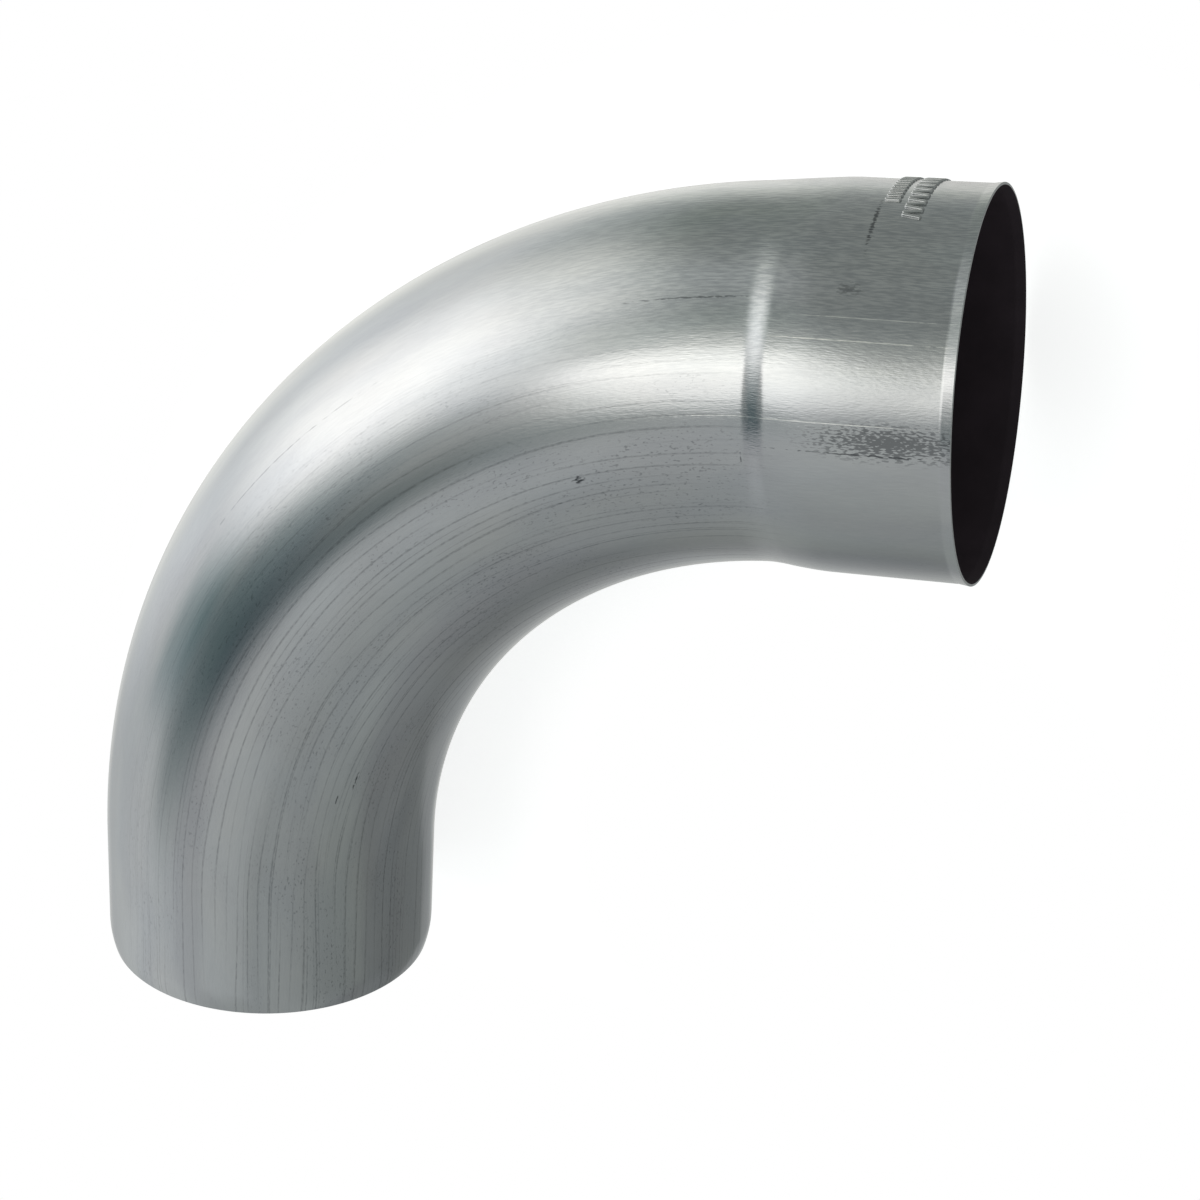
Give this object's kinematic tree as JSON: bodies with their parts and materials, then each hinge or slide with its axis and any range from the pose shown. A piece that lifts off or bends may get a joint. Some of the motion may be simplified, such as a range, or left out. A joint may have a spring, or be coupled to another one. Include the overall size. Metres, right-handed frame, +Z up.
{
  "type": "downpipe bend",
  "caption": "Thin sheet-zinc pipe bend, nearly a right angle, with a slightly drawn-in spigot at one end and a widened straight socket with a small flared mouth at the other.",
  "frame": {"origin": "on the spigot's axis, where the straight leg runs into the bend", "axes": "+Z up, square to the bend's plane, with the bend lying on its side; the spigot leg points along -Y and the bend turns from it towards +X"},
  "size_m": [0.258, 0.2647, 0.1036],
  "materials": {
    "zinc": "bright rolled"
  },
  "bodies": {
    "root": {"bend": "zinc"}
  },
  "joints": []
}
